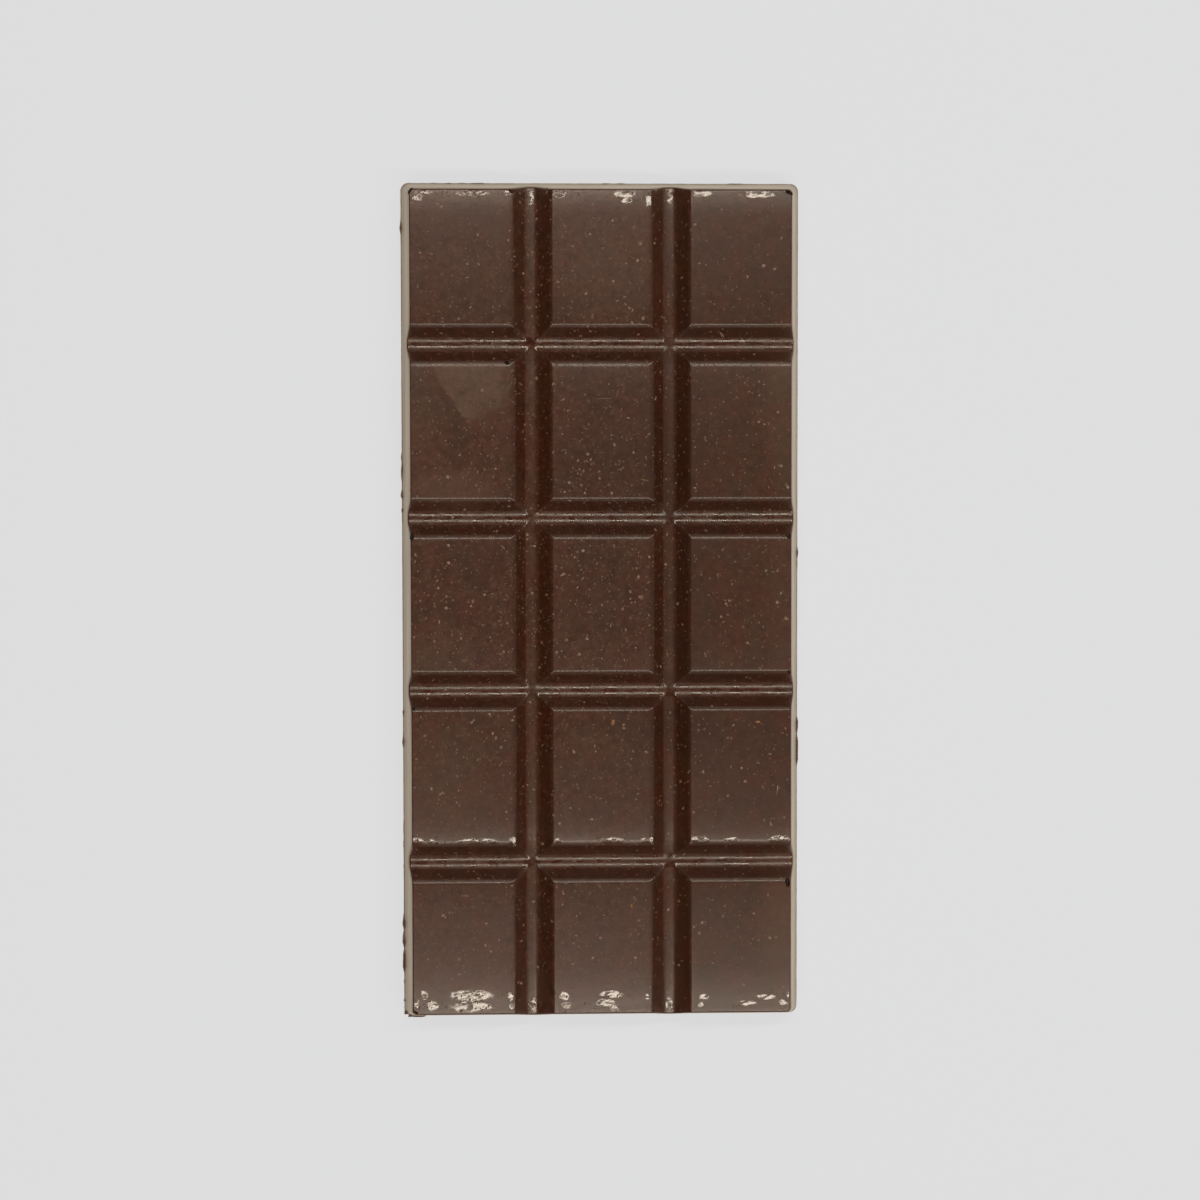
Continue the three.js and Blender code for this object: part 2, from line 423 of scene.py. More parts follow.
def new_node(tree, kind, inputs, **settings):
    """A node with some settings, and with values joined to some inputs, by name or by number."""
    node = tree.nodes.new(kind)
    for name, value in settings.items():
        setattr(node, name, value)
    for name, value in inputs.items():
        join(tree, value, node.inputs[name])
    return node


def maths(tree, operation, *values):
    """What the math node makes of some fields or numbers."""
    node = new_node(tree, "ShaderNodeMath", dict(enumerate(values)), operation=operation)
    return Field(tree, node.outputs[0])


def separate(tree, vector):
    node = new_node(tree, "ShaderNodeSeparateXYZ", {0: vector})
    return [Field(tree, output) for output in node.outputs]


def combine(tree, x, y, z):
    return Field(tree, new_node(tree, "ShaderNodeCombineXYZ", {0: x, 1: y, 2: z}).outputs[0])


def noise(tree, place, size, detail=2.0, roughness=0.5, seed=0.0):
    """Soft noise from 0 to 1 about 0.5, with lumps of the given size."""
    inputs = {"Vector": place, "W": seed, "Scale": 1 / size, "Detail": detail, "Roughness": roughness}
    return Field(tree, new_node(tree, "ShaderNodeTexNoise", inputs, noise_dimensions="4D").outputs[0])


def geometry_tree(name, sizes):
    """An empty geometry tree with named inputs, and those inputs as fields."""
    tree = bpy.data.node_groups.new(name, "GeometryNodeTree")
    tree.interface.new_socket("Geometry", in_out="INPUT", socket_type="NodeSocketGeometry")
    for label, value in sizes.items():
        socket = tree.interface.new_socket(label, in_out="INPUT", socket_type="NodeSocketFloat")
        socket.default_value = value
    tree.interface.new_socket("Geometry", in_out="OUTPUT", socket_type="NodeSocketGeometry")
    start = tree.nodes.new("NodeGroupInput")
    inputs = {socket.name: Field(tree, socket) for socket in start.outputs if socket.name}
    return tree, inputs


def finish_tree(tree, geometry, material):
    """Ends a tree with real geometry that has its material."""
    real = new_node(tree, "GeometryNodeRealizeInstances", {0: geometry})
    inputs = {"Geometry": real.outputs[0], "Material": material}
    dressed = new_node(tree, "GeometryNodeSetMaterial", inputs)
    new_node(tree, "NodeGroupOutput", {0: dressed.outputs[0]})


def put_in_scene(name, data):
    """A new object in the scene, made of a mesh, a light or a camera."""
    thing = bpy.data.objects.new(name, data)
    bpy.context.scene.collection.objects.link(thing)
    return thing


def run_tree(name, start, tree, sizes, smooth_angle):
    """Runs a tree on a mesh and gives the result as a plain object."""
    source = put_in_scene(name + "_source", start)
    modifier = source.modifiers.new(tree.name, "NODES")
    modifier.node_group = tree
    for item in tree.interface.items_tree:
        if item.in_out == "INPUT" and item.name in sizes:
            modifier[item.identifier] = sizes[item.name]
    depsgraph = bpy.context.evaluated_depsgraph_get()
    mesh = bpy.data.meshes.new_from_object(source.evaluated_get(depsgraph), depsgraph=depsgraph)
    mesh.name = name
    source.modifiers.clear()
    bpy.data.objects.remove(source)
    mesh.shade_smooth()
    mesh.set_sharp_from_angle(angle=smooth_angle)
    return put_in_scene(name, mesh)


# ---------------- the plain slab


def bend_run(bend):
    """How far a bend reaches, seen from above."""
    radius, start, end = bend
    return radius * MM * abs(math.sin(math.radians(end)) - math.sin(math.radians(start)))


GROOVE_REACH = sum(bend_run(bend) for bend in (FLOOR, HEEL, SHOULDER, BRIM)) + SLOPE_RUN


def groove_offsets():
    """Lattice lines on one side of a groove's middle, up to its brim."""
    stretches = (
        (bend_run(FLOOR), 5),
        (bend_run(HEEL), 3),
        (SLOPE_RUN, 3),
        (bend_run(SHOULDER), 5),
        (bend_run(BRIM), 6),
    )
    lines = []
    reach = 0.0
    for run, line_count in stretches:
        lines += [reach + run * (step + 1) / line_count for step in range(line_count)]
        reach += run
    return lines


def spread(low, high, step):
    """Even lines between two places, both left out."""
    count = max(1, math.ceil((high - low) / step))
    return [low + (high - low) * index / count for index in range(1, count)]


def inner_lines(facets, pitch, face, facet_step, end_step, shift):
    """Lattice lines along one axis of the face, inside the round corners."""
    edge = face / 2 - FACE_CORNER_RADIUS
    middles = [(index + 1 - facets / 2) * pitch + shift for index in range(facets - 1)]
    lines = [-edge, edge]
    for middle in middles:
        lines.append(middle)
        for offset in groove_offsets():
            lines += [middle - offset, middle + offset]
    for left, right in zip(middles, middles[1:]):
        lines += spread(left + GROOVE_REACH, right - GROOVE_REACH, facet_step)
    zone = edge - END_ZONE
    for way in (-1, 1):
        last = max(way * middle for middle in middles)
        outer = spread(last + GROOVE_REACH, zone, facet_step) + [zone] + spread(zone, edge, end_step)
        lines += [way * line for line in outer]
    return sorted(lines)


def edge_stations():
    """For each line from face to foot: how far it lies outside the inner lattice, its height and
    its corner radius."""
    wall = math.atan(DRAFT / THICKNESS)
    inset = EDGE_RADIUS * math.tan((math.pi / 2 - wall) / 2)
    flat_end = FACE_CORNER_RADIUS - inset
    stations = [(flat_end * share, THICKNESS, flat_end * share) for share in (0, 0.5, 1.0)]
    for step in range(1, EDGE_LINES + 1):
        lean = math.pi / 2 + (wall - math.pi / 2) * step / EDGE_LINES
        out = flat_end + EDGE_RADIUS * math.cos(lean)
        stations.append((out, THICKNESS - EDGE_RADIUS * (1 - math.sin(lean)), out))
    wall_top = stations[-1][1]
    heights = [wall_top * share for share in WALL_LINES]
    heights += [LIP_THICKNESS * share for share in LIP_LINES]
    for height in heights:
        down = 1 - height / THICKNESS
        corner = FACE_CORNER_RADIUS + (FOOT_CORNER_RADIUS - FACE_CORNER_RADIUS) * down
        stations.append((FACE_CORNER_RADIUS + DRAFT * down, height, corner))
    return stations


def round_corner(out, radius, share):
    """A point on a square corner with a round tip, from its side (share 0) to its other side (1)."""
    straight = out - radius
    length = 2 * straight + radius * math.pi / 2
    way = share * length
    if way < straight:
        return out, way
    if way > length - straight:
        return length - way, out
    turn = (way - straight) / radius if radius else 0.0
    return straight + radius * math.cos(turn), straight + radius * math.sin(turn)


def slab_lattice():
    """The slab before the mould: vertices row by row, with round corners and drafted walls."""
    stations = edge_stations()
    last = len(stations) - 1
    lines = []
    for facets, pitch, face, step, end_step, shift in (
        (COLUMNS, PITCH_ACROSS, FACE_WIDTH, STEP_ACROSS, SIDE_STEP, 0.0),
        (ROWS, PITCH_ALONG, FACE_LENGTH, STEP_ALONG, END_STEP, CROSS_SHIFT),
    ):
        inner = inner_lines(facets, pitch, face, step, end_step, shift)
        outer = range(1, last + 1)
        low = [(inner[0], -1, station) for station in reversed(outer)]
        high = [(inner[-1], 1, station) for station in outer]
        lines.append(low + [(place, 0, 0) for place in inner] + high)
    vertices = [slab_point(across, along, stations) for along in lines[1] for across in lines[0]]
    return vertices, len(lines[0]), len(lines[1])


def slab_point(across, along, stations):
    """Where one crossing of two lattice lines lies on the slab."""
    x, x_way, x_station = across
    y, y_way, y_station = along
    out, height, radius = stations[max(x_station, y_station)]
    if x_way and y_way:
        if x_station >= y_station:
            share = y_station / x_station / 2
        else:
            share = 1 - x_station / y_station / 2
        off_x, off_y = round_corner(out, radius, share)
        return (x + x_way * off_x, y + y_way * off_y, height)
    return (x + x_way * out, y + y_way * out, height)


def slab_mesh():
    """The slab as one closed mesh, with its flat back filled in."""
    vertices, columns, rows = slab_lattice()
    shape = bmesh.new()
    points = [shape.verts.new(vertex) for vertex in vertices]
    for row in range(rows - 1):
        for column in range(columns - 1):
            first = row * columns + column
            shape.faces.new(
                [points[first], points[first + 1], points[first + columns + 1], points[first + columns]]
            )
    fill_back(shape)
    refine_round_bubbles(shape)
    mesh = bpy.data.meshes.new("slab")
    shape.to_mesh(mesh)
    shape.free()
    return mesh


def fill_back(shape):
    """A coarse lattice for the back, joined by triangles to the foot's outline."""
    rim = [edge for edge in shape.edges if edge.is_boundary]
    half_width = FACE_WIDTH / 2
    half_length = FACE_LENGTH / 2
    columns = round(2 * half_width / BACK_STEP)
    rows = round(2 * half_length / BACK_STEP)
    grid = [
        [
            shape.verts.new((half_width * (2 * i / columns - 1), half_length * (2 * j / rows - 1), 0))
            for i in range(columns + 1)
        ]
        for j in range(rows + 1)
    ]
    for low, high in zip(grid, grid[1:]):
        for i in range(columns):
            shape.faces.new([low[i + 1], low[i], high[i], high[i + 1]])
    inner = [edge for edge in shape.edges if edge.is_boundary and edge not in set(rim)]
    filled = bmesh.ops.triangle_fill(
        shape, edges=rim + inner, use_beauty=True, use_dissolve=False, normal=(0, 0, -1)
    )
    for item in filled["geom"]:
        if isinstance(item, bmesh.types.BMFace) and item.normal.z > 0:
            item.normal_flip()


def refine_round_bubbles(shape):
    """Cuts the face's lattice finer where a bubble will sink into it."""
    edges = set()
    for face in shape.faces:
        middle = face.calc_center_median()
        if middle.z < THICKNESS / 2:
            continue
        for place_x, place_y, *_ in BUBBLES:
            off = max(abs(middle.x - place_x * MM), abs(middle.y - place_y * MM))
            if off < REFINED:
                edges.update(face.edges)
    bmesh.ops.subdivide_edges(shape, edges=list(edges), cuts=2, use_grid_fill=True)


# ---------------- the mould


MOULD_SIZES = {
    "Pitch across": PITCH_ACROSS,
    "Pitch along": PITCH_ALONG,
    "Half width": FACE_WIDTH / 2,
    "Half length": FACE_LENGTH / 2,
    "Thickness": THICKNESS,
    "Draft": DRAFT,
    "Slope run": SLOPE_RUN,
    "Cross shift": CROSS_SHIFT,
    "Side spread": 0.22 * MM,
    "Ridge rounding": 0.5 * MM,
    "Facet fullness": 0.17 * MM,
    "Near roll depth": 0.135 * MM,
    "Far roll depth": 0.113 * MM,
    "Near roll width": NEAR_ROLL_WIDTH,
    "Far roll width": FAR_ROLL_WIDTH,
    "Edge roll depth": 0.1 * MM,
    "Edge roll width": 5 * MM,
    "Fleck room": 0.1 * MM,
    "Wave depth": 0.06 * MM,
    "Fine wave depth": 0.03 * MM,
    "Wall wave depth": 0.12 * MM,
    "Near edge out": 0.17 * MM,
    "Near foot in": 0.25 * MM,
    "Lip reach": LIP_REACH,
    "Lip thickness": LIP_THICKNESS,
    "Back unevenness": 0.05 * MM,
}


def groove_depth(across, size):
    """Depth of a groove at a distance from its middle line."""
    rise, reach = bend_rise(across, 0.0, FLOOR)
    climb, reach = bend_rise(across, reach, HEEL)
    rise = rise + climb
    slope_angle = math.radians(HEEL[2])
    run = (across - reach).most(0.0).least(size["Slope run"])
    rise = rise + run * math.tan(slope_angle)
    reach = size["Slope run"] + reach
    climb, reach = bend_rise(across, reach, SHOULDER)
    rise = rise + climb
    climb, reach = bend_rise(across, reach, BRIM)
    return size["Slope run"] * math.tan(slope_angle) + BENDS_RISE - rise - climb


def bend_rise(across, start, bend):
    """How much one bend lifts the surface at a distance from the groove's middle, and where the
    bend ends."""
    radius, tilt, end_tilt = bend[0] * MM, math.radians(bend[1]), math.radians(bend[2])
    run = (across - start).most(0.0).least(bend_run(bend))
    way = 1 if end_tilt > tilt else -1
    sine = run * (way / radius) + math.sin(tilt)
    cosine = (1 - sine.squared()).root()
    return (cosine - math.cos(tilt)) * (-way * radius), start + bend_run(bend)


BENDS_RISE = sum(
    radius * MM * abs(math.cos(math.radians(end)) - math.cos(math.radians(start)))
    for radius, start, end in (FLOOR, HEEL, SHOULDER, BRIM)
)


def from_groove(place, pitch, grooves):
    """Distance from the nearest groove's middle line, minus on its low side."""
    number = (place / pitch - 0.5).rounded().most(-grooves / 2).least(grooves / 2 - 1)
    return place - (number + 0.5) * pitch


def pushed_out(across, low, high, shift):
    """Spreads a stretch of a groove's side, so all beyond it lies further out."""
    return across - ((across - low) / (high - low)).most(0.0).least(1.0) * shift


def lengthwise_reach(x, y, size):
    """Distance from a lengthwise groove. Its right side runs up wider, to a crisper shoulder, and
    both sides are wider in the last rows."""
    signed = from_groove(x, size["Pitch across"], COLUMNS - 1)
    right = signed.above(0.0)
    near_row = 1 - y.ramp(*NEAR_ROW_END)
    far_row = y.ramp(*FAR_ROW_START)
    spread_right = right * size["Side spread"] * (1 + near_row * 0.4)
    spread_left = (1 - right) * size["Side spread"] * (near_row + far_row)
    wide = pushed_out(signed.absolute(), *SIDE_STRETCH, spread_right + spread_left)
    return pushed_out(wide, *LENGTHWISE_BRIM, right * -LENGTHWISE_CRISPNESS)


def crosswise_reach(y, size):
    """Distance from a crosswise groove. All but the nearest have a crisp brim on their far side,
    and all but the farthest have a more or less crisp one on their near side."""
    signed = from_groove(y - size["Cross shift"], size["Pitch along"], ROWS - 1)
    on_far_side = signed.above(0.0)
    far_crisp = y.ramp(*PAST_NEAREST_GROOVE)
    near_crisp = 0.9 - y.ramp(*PAST_MIDDLE) * 0.4 - y.ramp(*BY_FARTHEST_GROOVE) * 0.5
    crisp = on_far_side * far_crisp + (1 - on_far_side) * near_crisp
    return pushed_out(signed.absolute(), *CROSSWISE_BRIM, crisp * -CROSSWISE_CRISPNESS)


def bubble_depth(x, y):
    """Depth of the hollows that trapped air left at corners of the facets."""
    depth = None
    for place_x, place_y, long, wide, deep, turn in BUBBLES:
        turn = math.radians(turn)
        off_x = x - place_x * MM
        off_y = y - place_y * MM
        along = (off_y * math.cos(turn) - off_x * math.sin(turn)) / (long * MM)
        across = (off_x * math.cos(turn) + off_y * math.sin(turn)) / (wide * MM)
        hollow = (1 - along.squared() - across.squared()).most(0.0).root() * (deep * MM)
        depth = hollow if depth is None else depth.most(hollow)
    return depth


def patches_share(across, along, patches):
    """1 inside any patch of a list, fading out at its oval outline."""
    share = None
    for low_x, high_x, low, high in patches:
        off_x = (across - (low_x + high_x) / 2 * MM) / ((high_x - low_x) / 2 * MM)
        off_y = (along - (low + high) / 2 * MM) / ((high - low) / 2 * MM)
        patch = 1 - (off_x.squared() + off_y.squared()).ramp(0.7, 1.7)
        share = patch if share is None else share.most(patch)
    return share


def patches_sum(x, y, patches):
    """Adds up wide soft patches, each with its own share at its middle."""
    total = 0.0
    for place_x, place_y, wide, long, share in patches:
        off_x = (x - place_x * MM) / (wide * MM)
        off_y = (y - place_y * MM) / (long * MM)
        total = total + (1 - (off_x.squared() + off_y.squared()).ramp(0.0, 1.6)) * share
    return total


def ripple_share(tree, x, y):
    """1 where the poured chocolate shrank into small shiny ripples: patches along both ends of the
    bar and along the near edge of the fourth row."""
    flat = combine(tree, x, y, 0.0)
    wander = (noise(tree, flat, 1.2 * MM, detail=2.0, seed=8.0) - 0.5) * (1.6 * MM)
    across = x + wander
    near = patches_share(across, FACE_LENGTH / 2 + y - wander * 0.7, NEAR_RIPPLES)
    far = patches_share(across, FACE_LENGTH / 2 - y - wander * 0.5, FAR_RIPPLES)
    edge = patches_share(across, y - RIPPLED_EDGE + wander * 0.3, EDGE_RIPPLES)
    spots = ripple_noise(tree, x, y, 0.8 * MM, detail=1.0, seed=9.0)
    return near.most(far).most(edge) * spots.ramp(0.35, 0.48)


def ripple_noise(tree, x, y, size, detail, seed):
    """Noise with its lumps drawn out along X, and a little aslant."""
    return noise(tree, combine(tree, x * 0.5, y - x * 0.2, 0.0), size, detail=detail, seed=seed)


def ripple_tilt(tree, x, y):
    """How far the ripples tip the surface along Y, outwards over the nearest end, as a slope."""
    far = y.above(0.0)
    to_end = FACE_LENGTH / 2 - y.absolute()
    roll_width = NEAR_ROLL_WIDTH + far * (FAR_ROLL_WIDTH - NEAR_ROLL_WIDTH)
    on_roll = (1 - to_end / roll_width).most(0.0)
    crests = ripple_noise(tree, x, y, 0.75 * MM, detail=1.5, seed=5.0)
    on_edge = 1 - (y - RIPPLED_EDGE).absolute().ramp(1 * MM, 2 * MM)
    ends = RIPPLE_TILT + far * FAR_EXTRA_TILT - on_roll * (ROLL_TILT + far * FAR_ROLL_TILT)
    return (ends - on_edge * EDGE_TILT + (crests - 0.5) * RIPPLE_SWAY) * (far * 2 - 1)


def mould_tree(material):
    """Presses the bar's relief into the slab."""
    tree, size = geometry_tree("mould", MOULD_SIZES)
    position = tree.nodes.new("GeometryNodeInputPosition")
    place = Field(tree, position.outputs[0])
    x, y, z = separate(tree, place)
    height_share = z / size["Thickness"]
    on_face = height_share.ramp(0.86, 0.99)
    depth_x = groove_depth(lengthwise_reach(x, y, size), size)
    depth_y = groove_depth(crosswise_reach(y, size), size)
    to_end = size["Half length"] - y.absolute()
    at_far = y.above(0.0)

    wave = (noise(tree, place, 11 * MM, detail=1.0, seed=3.0) - 0.5) * size["Wave depth"]
    fine = (noise(tree, place, 2.2 * MM, detail=1.0, seed=4.0) - 0.5) * size["Fine wave depth"]
    relief = size["Fleck room"] + facet_crown(x, y, size) + facet_roll(y, to_end, at_far, size)
    relief = relief + wave.absolute() + fine
    groove = both_grooves(depth_x, depth_y, size)
    sunk = groove * height_share + (relief + bubble_depth(x, y)) * on_face

    # Grooves open out through the walls, so a sunk edge lies further out, on the same wall.
    at_side = (x.absolute() - size["Half width"]).ramp(*RIM_BAND)
    at_end = (y.absolute() - size["Half length"]).ramp(*RIM_BAND)
    slide = size["Draft"] / size["Thickness"] * height_share
    lip = ragged_lip(tree, place, z, size)
    wobble = (noise(tree, place, 5 * MM, detail=2.0, seed=13.0) - 0.5) * size["Wall wave depth"]
    wobble = wobble * height_share * (1 - height_share) * 4
    new_x = x + x.sign() * at_side * (slide * depth_y + lip + wobble)
    steeper = size["Near edge out"] * height_share - size["Near foot in"] * (1 - height_share)
    shift = y.sign() * at_end * (slide * depth_x + lip + wobble)
    new_y = y + shift - at_end * (1 - at_far) * steeper

    inside = (size["Half width"] - x.absolute()).ramp(0.0, 3 * MM) * to_end.ramp(0.0, 3 * MM)
    uneven = noise(tree, place, 14 * MM, detail=3.0, seed=2.0) * size["Back unevenness"]
    scraped = uneven * (1 - z.ramp(0.0, 0.01 * MM)) * inside

    moved = combine(tree, new_x, new_y, z - sunk + scraped)
    inputs = {"Geometry": size["Geometry"], "Position": moved}
    finish_tree(tree, new_node(tree, "GeometryNodeSetPosition", inputs).outputs[0], material)
    return tree


def both_grooves(depth_x, depth_y, size):
    """Depth of the grooves where both kinds meet, with the ridges between their sides rounded."""
    deepest = depth_x.most(depth_y)
    sharper = 1 - deepest.ramp(1.6 * MM, 2.2 * MM) * 0.7
    ridge = size["Ridge rounding"] * (deepest / MM).least(1.0) * sharper
    return depth_x.most_smoothly(depth_y, ridge)


def facet_crown(x, y, size):
    """How far each facet curves down from its middle to its edges."""
    off_x = x / size["Pitch across"] - (x / size["Pitch across"]).rounded()
    off_y = y / size["Pitch along"] - (y / size["Pitch along"]).rounded()
    crown = off_y.absolute().least(FACET_HALF).squared()
    curve = off_x.squared() * CROWN_ACROSS + crown * CROWN_ALONG + crown.squared() * CROWN_EDGE
    return size["Facet fullness"] * curve


def facet_roll(y, to_end, at_far, size):
    """How far the facets roll down at the bar's two ends and along the fourth row's near edge."""
    near = size["Near roll depth"] * (1 - to_end / size["Near roll width"]).most(0.0).squared()
    far = size["Far roll depth"] * (1 - to_end / size["Far roll width"]).most(0.0).squared()
    from_edge = y - RIPPLED_EDGE + EDGE_ROLL_PAST
    onto_edge = (1 - from_edge / size["Edge roll width"]).most(0.0).least(1.0)
    on_row = y.ramp(*FOURTH_ROW_START)
    return near * (1 - at_far) + far * at_far + size["Edge roll depth"] * onto_edge.squared() * on_row


def ragged_lip(tree, place, z, size):
    """How far the lip of flash stands out: crumbs of it along some stretches of the foot."""
    x, y, _ = separate(tree, place)
    fine = noise(tree, place, 1.6 * MM, detail=3.0, roughness=0.6, seed=11.0)
    zone = None
    for facing, low, high, share in LIP_STRETCHES:
        way = 1 if facing in ("right", "far") else -1
        out, along = (x, y) if facing in ("left", "right") else (y, x)
        edge = FACE_WIDTH / 2 if out is x else FACE_LENGTH / 2
        here = along.ramp((low - 0.5) * MM, low * MM) * (1 - along.ramp(high * MM, (high + 0.5) * MM))
        here = here * (out * way).above(edge) * share
        zone = here if zone is None else zone.most(here)
    low_down = 1 - z.ramp(size["Lip thickness"], size["Lip thickness"] * 1.3)
    crumbs = zone * (0.1 + fine.ramp(0.5, 0.58) * 0.9)
    return size["Lip reach"] * (fine * 0.3 + crumbs * 0.8) * low_down


# ---------------- materials


def new_material(name):
    """A material with an empty tree, its principled shader and the place on the object."""
    material = bpy.data.materials.new(name)
    material.use_nodes = True
    tree = material.node_tree
    tree.nodes.clear()
    output = tree.nodes.new("ShaderNodeOutputMaterial")
    shader = tree.nodes.new("ShaderNodeBsdfPrincipled")
    tree.links.new(shader.outputs[0], output.inputs["Surface"])
    coordinates = tree.nodes.new("ShaderNodeTexCoord")
    return material, tree, shader, Field(tree, coordinates.outputs["Object"])


def mix_colours(tree, share, first, second):
    node = new_node(tree, "ShaderNodeMix", {0: share, 6: first, 7: second}, data_type="RGBA")
    return Field(tree, node.outputs[2])


def laid_over(tree, brown, layers):
    """A colour with layers of the chocolate's browns over it, each where its share says."""
    for share, name in layers:
        brown = mix_colours(tree, share, brown, colour(*BROWNS[name]))
    return brown


def colour(red, green, blue):
    """A colour given in the usual 0 to 255 display values, as linear light."""
    return (*(channel_to_linear(value / 255) for value in (red, green, blue)), 1.0)


def channel_to_linear(value):
    return value / 12.92 if value <= 0.04045 else ((value + 0.055) / 1.055) ** 2.4


def dark_chocolate():
    """Tempered dark chocolate: half gloss, mottled brown, with a faint smudge, painted shade in the
    bubble hollows, fine grain, and shiny ripples and sparks."""
    material, tree, shader, place = new_material("dark_chocolate")
    x, y, z = separate(tree, place)
    mottle = noise(tree, place, 1.4 * MM, detail=4.0, roughness=0.65, seed=22.0)
    smudge = smudge_share(tree, place, x, y)
    # The bubble hollows get a near-black brown: painted shade in the pits.
    hollow = bubble_depth(x, y).ramp(0.05 * MM, 0.3 * MM)
    broken = 1 - z.ramp(0.35 * MM, 0.5 * MM)
    blemishes_and_pit_shade = (
        (smudge * (mottle * 2.2 - 0.5), "smudge"),
        # painted shade in the bubble hollows
        (hollow, "bubble"),
        (broken * 0.7, "broken flash"),
    )
    brown = laid_over(tree, mottled_brown(tree, place, x, y, mottle), blemishes_and_pit_shade)
    join(tree, brown, shader.inputs["Base Color"])
    dull = PLAIN_DULLNESS + mottle * MOTTLE_DULLNESS + smudge * SMUDGE_DULLNESS
    dull = dull + broken * BROKEN_DULLNESS + hollow * BUBBLE_DULLNESS + wall_streaks(tree, x, y, z)
    shiny = ripple_share(tree, x, y) * z.ramp(*RIPPLE_LOW)
    sparks = groove_sparks(tree, x, y, z) * (1 - shiny)
    join(tree, dull - shiny * RIPPLE_SHINE - sparks * SPARK_SHINE, shader.inputs["Roughness"])
    shader.inputs["IOR"].default_value = 1.5
    shader.inputs["Coat Weight"].default_value = 0.5
    shader.inputs["Coat Roughness"].default_value = 0.28
    grain = noise(tree, place, 0.4 * MM, detail=3.0, roughness=0.6, seed=24.0)
    height = grain * (0.006 + sparks * 0.004 - shiny * 0.004) * MM
    roughen(tree, shader, height, tip_along_y(tree, ripple_tilt(tree, x, y) * shiny))
    return material


def mottled_brown(tree, place, x, y, mottle):
    """The brown of clean chocolate: clouds, mottle and dots, with wide hazier and deeper patches,
    painted sheen along the right edge and painted shade on the groove banks.
    """
    clouds = noise(tree, place, 5 * MM, detail=2.0, roughness=0.45, seed=21.0)
    dots = noise(tree, place, 0.6 * MM, detail=2.0, seed=23.0)
    coarse = 1.2 - x.ramp(2 * MM, 20 * MM) * 0.45 - (1 - y.ramp(-36 * MM, -12 * MM)) * 0.2
    cloudy = clouds.ramp(0.4, 0.6)
    layers = (
        (cloudy * 0.8 + (1 - x.ramp(6 * MM, 18 * MM)) * 0.25, "redder"),
        (mottle.ramp(0.4, 0.7) * 0.55 * coarse, "lighter mottle"),
        ((1 - mottle).ramp(0.5, 0.72) * 0.6 * coarse, "darker mottle"),
        (dots.ramp(0.56, 0.68) * 0.5 * coarse, "pale dots"),
        ((1 - dots).ramp(0.56, 0.68) * cloudy * 0.5 * coarse, "dark dots"),
        # lighter, greyer patches: hazy film, and painted sheen along the right edge
        (patches_sum(x, y, HAZES_AND_SHEEN), "haze and sheen"),
        (patches_sum(x, y, DEEPER), "deeper"),
        # a darker brown on the grooves' sloping sides: painted shade
        (bank_shade_share(x, y) * 0.3, "painted bank shade"),
    )
    return laid_over(tree, colour(*BROWNS["plain"]), layers)


def roughen(tree, shader, height, normal=None):
    """Gives a shader fine bumps of a given height, on the surface's own direction or another."""
    bump = new_node(tree, "ShaderNodeBump", {"Distance": 1.0, "Height": height})
    if normal:
        join(tree, normal, bump.inputs["Normal"])
    tree.links.new(bump.outputs[0], shader.inputs["Normal"])


def tip_along_y(tree, tilt):
    """The surface's own direction, tipped along Y."""
    geometry = tree.nodes.new("ShaderNodeNewGeometry")
    x, y, z = separate(tree, geometry.outputs["Normal"])
    tipped = combine(tree, x, y + tilt, z)
    straight = new_node(tree, "ShaderNodeVectorMath", {0: tipped}, operation="NORMALIZE")
    return Field(tree, straight.outputs[0])


def wall_streaks(tree, x, y, z):
    """Extra dullness of the drafted walls: streaks along them, and more towards the foot."""
    along = noise(tree, combine(tree, x * 0.06, y * 0.06, z), 0.8 * MM, detail=2.0, seed=25.0)
    off_side = x.absolute().ramp(FACE_WIDTH / 2 - 0.1 * MM, FACE_WIDTH / 2 + 0.3 * MM)
    off_end = y.absolute().ramp(FACE_LENGTH / 2 - 0.1 * MM, FACE_LENGTH / 2 + 0.3 * MM)
    low = 1 - z.ramp(2 * MM, 4.5 * MM)
    right = x.above(0.0)
    return off_side.most(off_end) * ((along - 0.5) * 0.3 + low * 0.1 - 0.03 - right * 0.04)


def bank_shade_share(x, y):
    """1 on the sloping sides of the grooves, where the brown is laid darker: painted shade."""
    reach = from_groove(x, PITCH_ACROSS, COLUMNS - 1).absolute().least(from_crosswise(y))
    return reach.ramp(*BANK_FOOT) * (1 - reach.ramp(*BANK_TOP))


def from_crosswise(y):
    """Distance from the nearest crosswise groove's middle line."""
    return from_groove(y - CROSS_SHIFT, PITCH_ALONG, ROWS - 1).absolute()


def groove_sparks(tree, x, y, z):
    """1 on short streaks along the floors of the crosswise grooves, where the chocolate is glossier."""
    streaks = noise(tree, combine(tree, x * 0.4, y, z), 0.9 * MM, detail=2.0, seed=27.0)
    on_floor = 1 - from_crosswise(y).ramp(1.0 * MM, 1.6 * MM)
    on_floor = on_floor * (FACE_WIDTH / 2 - x.absolute()).ramp(0.0, 0.5 * MM)
    return streaks.ramp(0.49, 0.6) * on_floor


def smudge_share(tree, place, x, y):
    """A hazy film on the left facet of the second row, with a sharp slanting edge on its left."""
    wander = (noise(tree, place, 2.5 * MM, detail=3.0, seed=31.0) - 0.5) * (1.4 * MM)
    right, up = x - SMUDGE_X, y - SMUDGE_Y
    from_slant = (up + right * SLANT_SLOPE) / SLANT_LENGTH + wander
    from_below = up - right * FOOT_SLOPE + wander * 2
    film = from_slant.ramp(0.0, 0.5 * MM) * from_below.ramp(-0.8 * MM, 2.2 * MM)
    on_facet = (SMUDGE_RIGHT - x).ramp(0.0, 3 * MM) * (SMUDGE_TOP - y).ramp(0.0, 1.5 * MM)
    return film * (x - SMUDGE_LEFT + wander * 2).ramp(0.0, 2.5 * MM) * on_facet


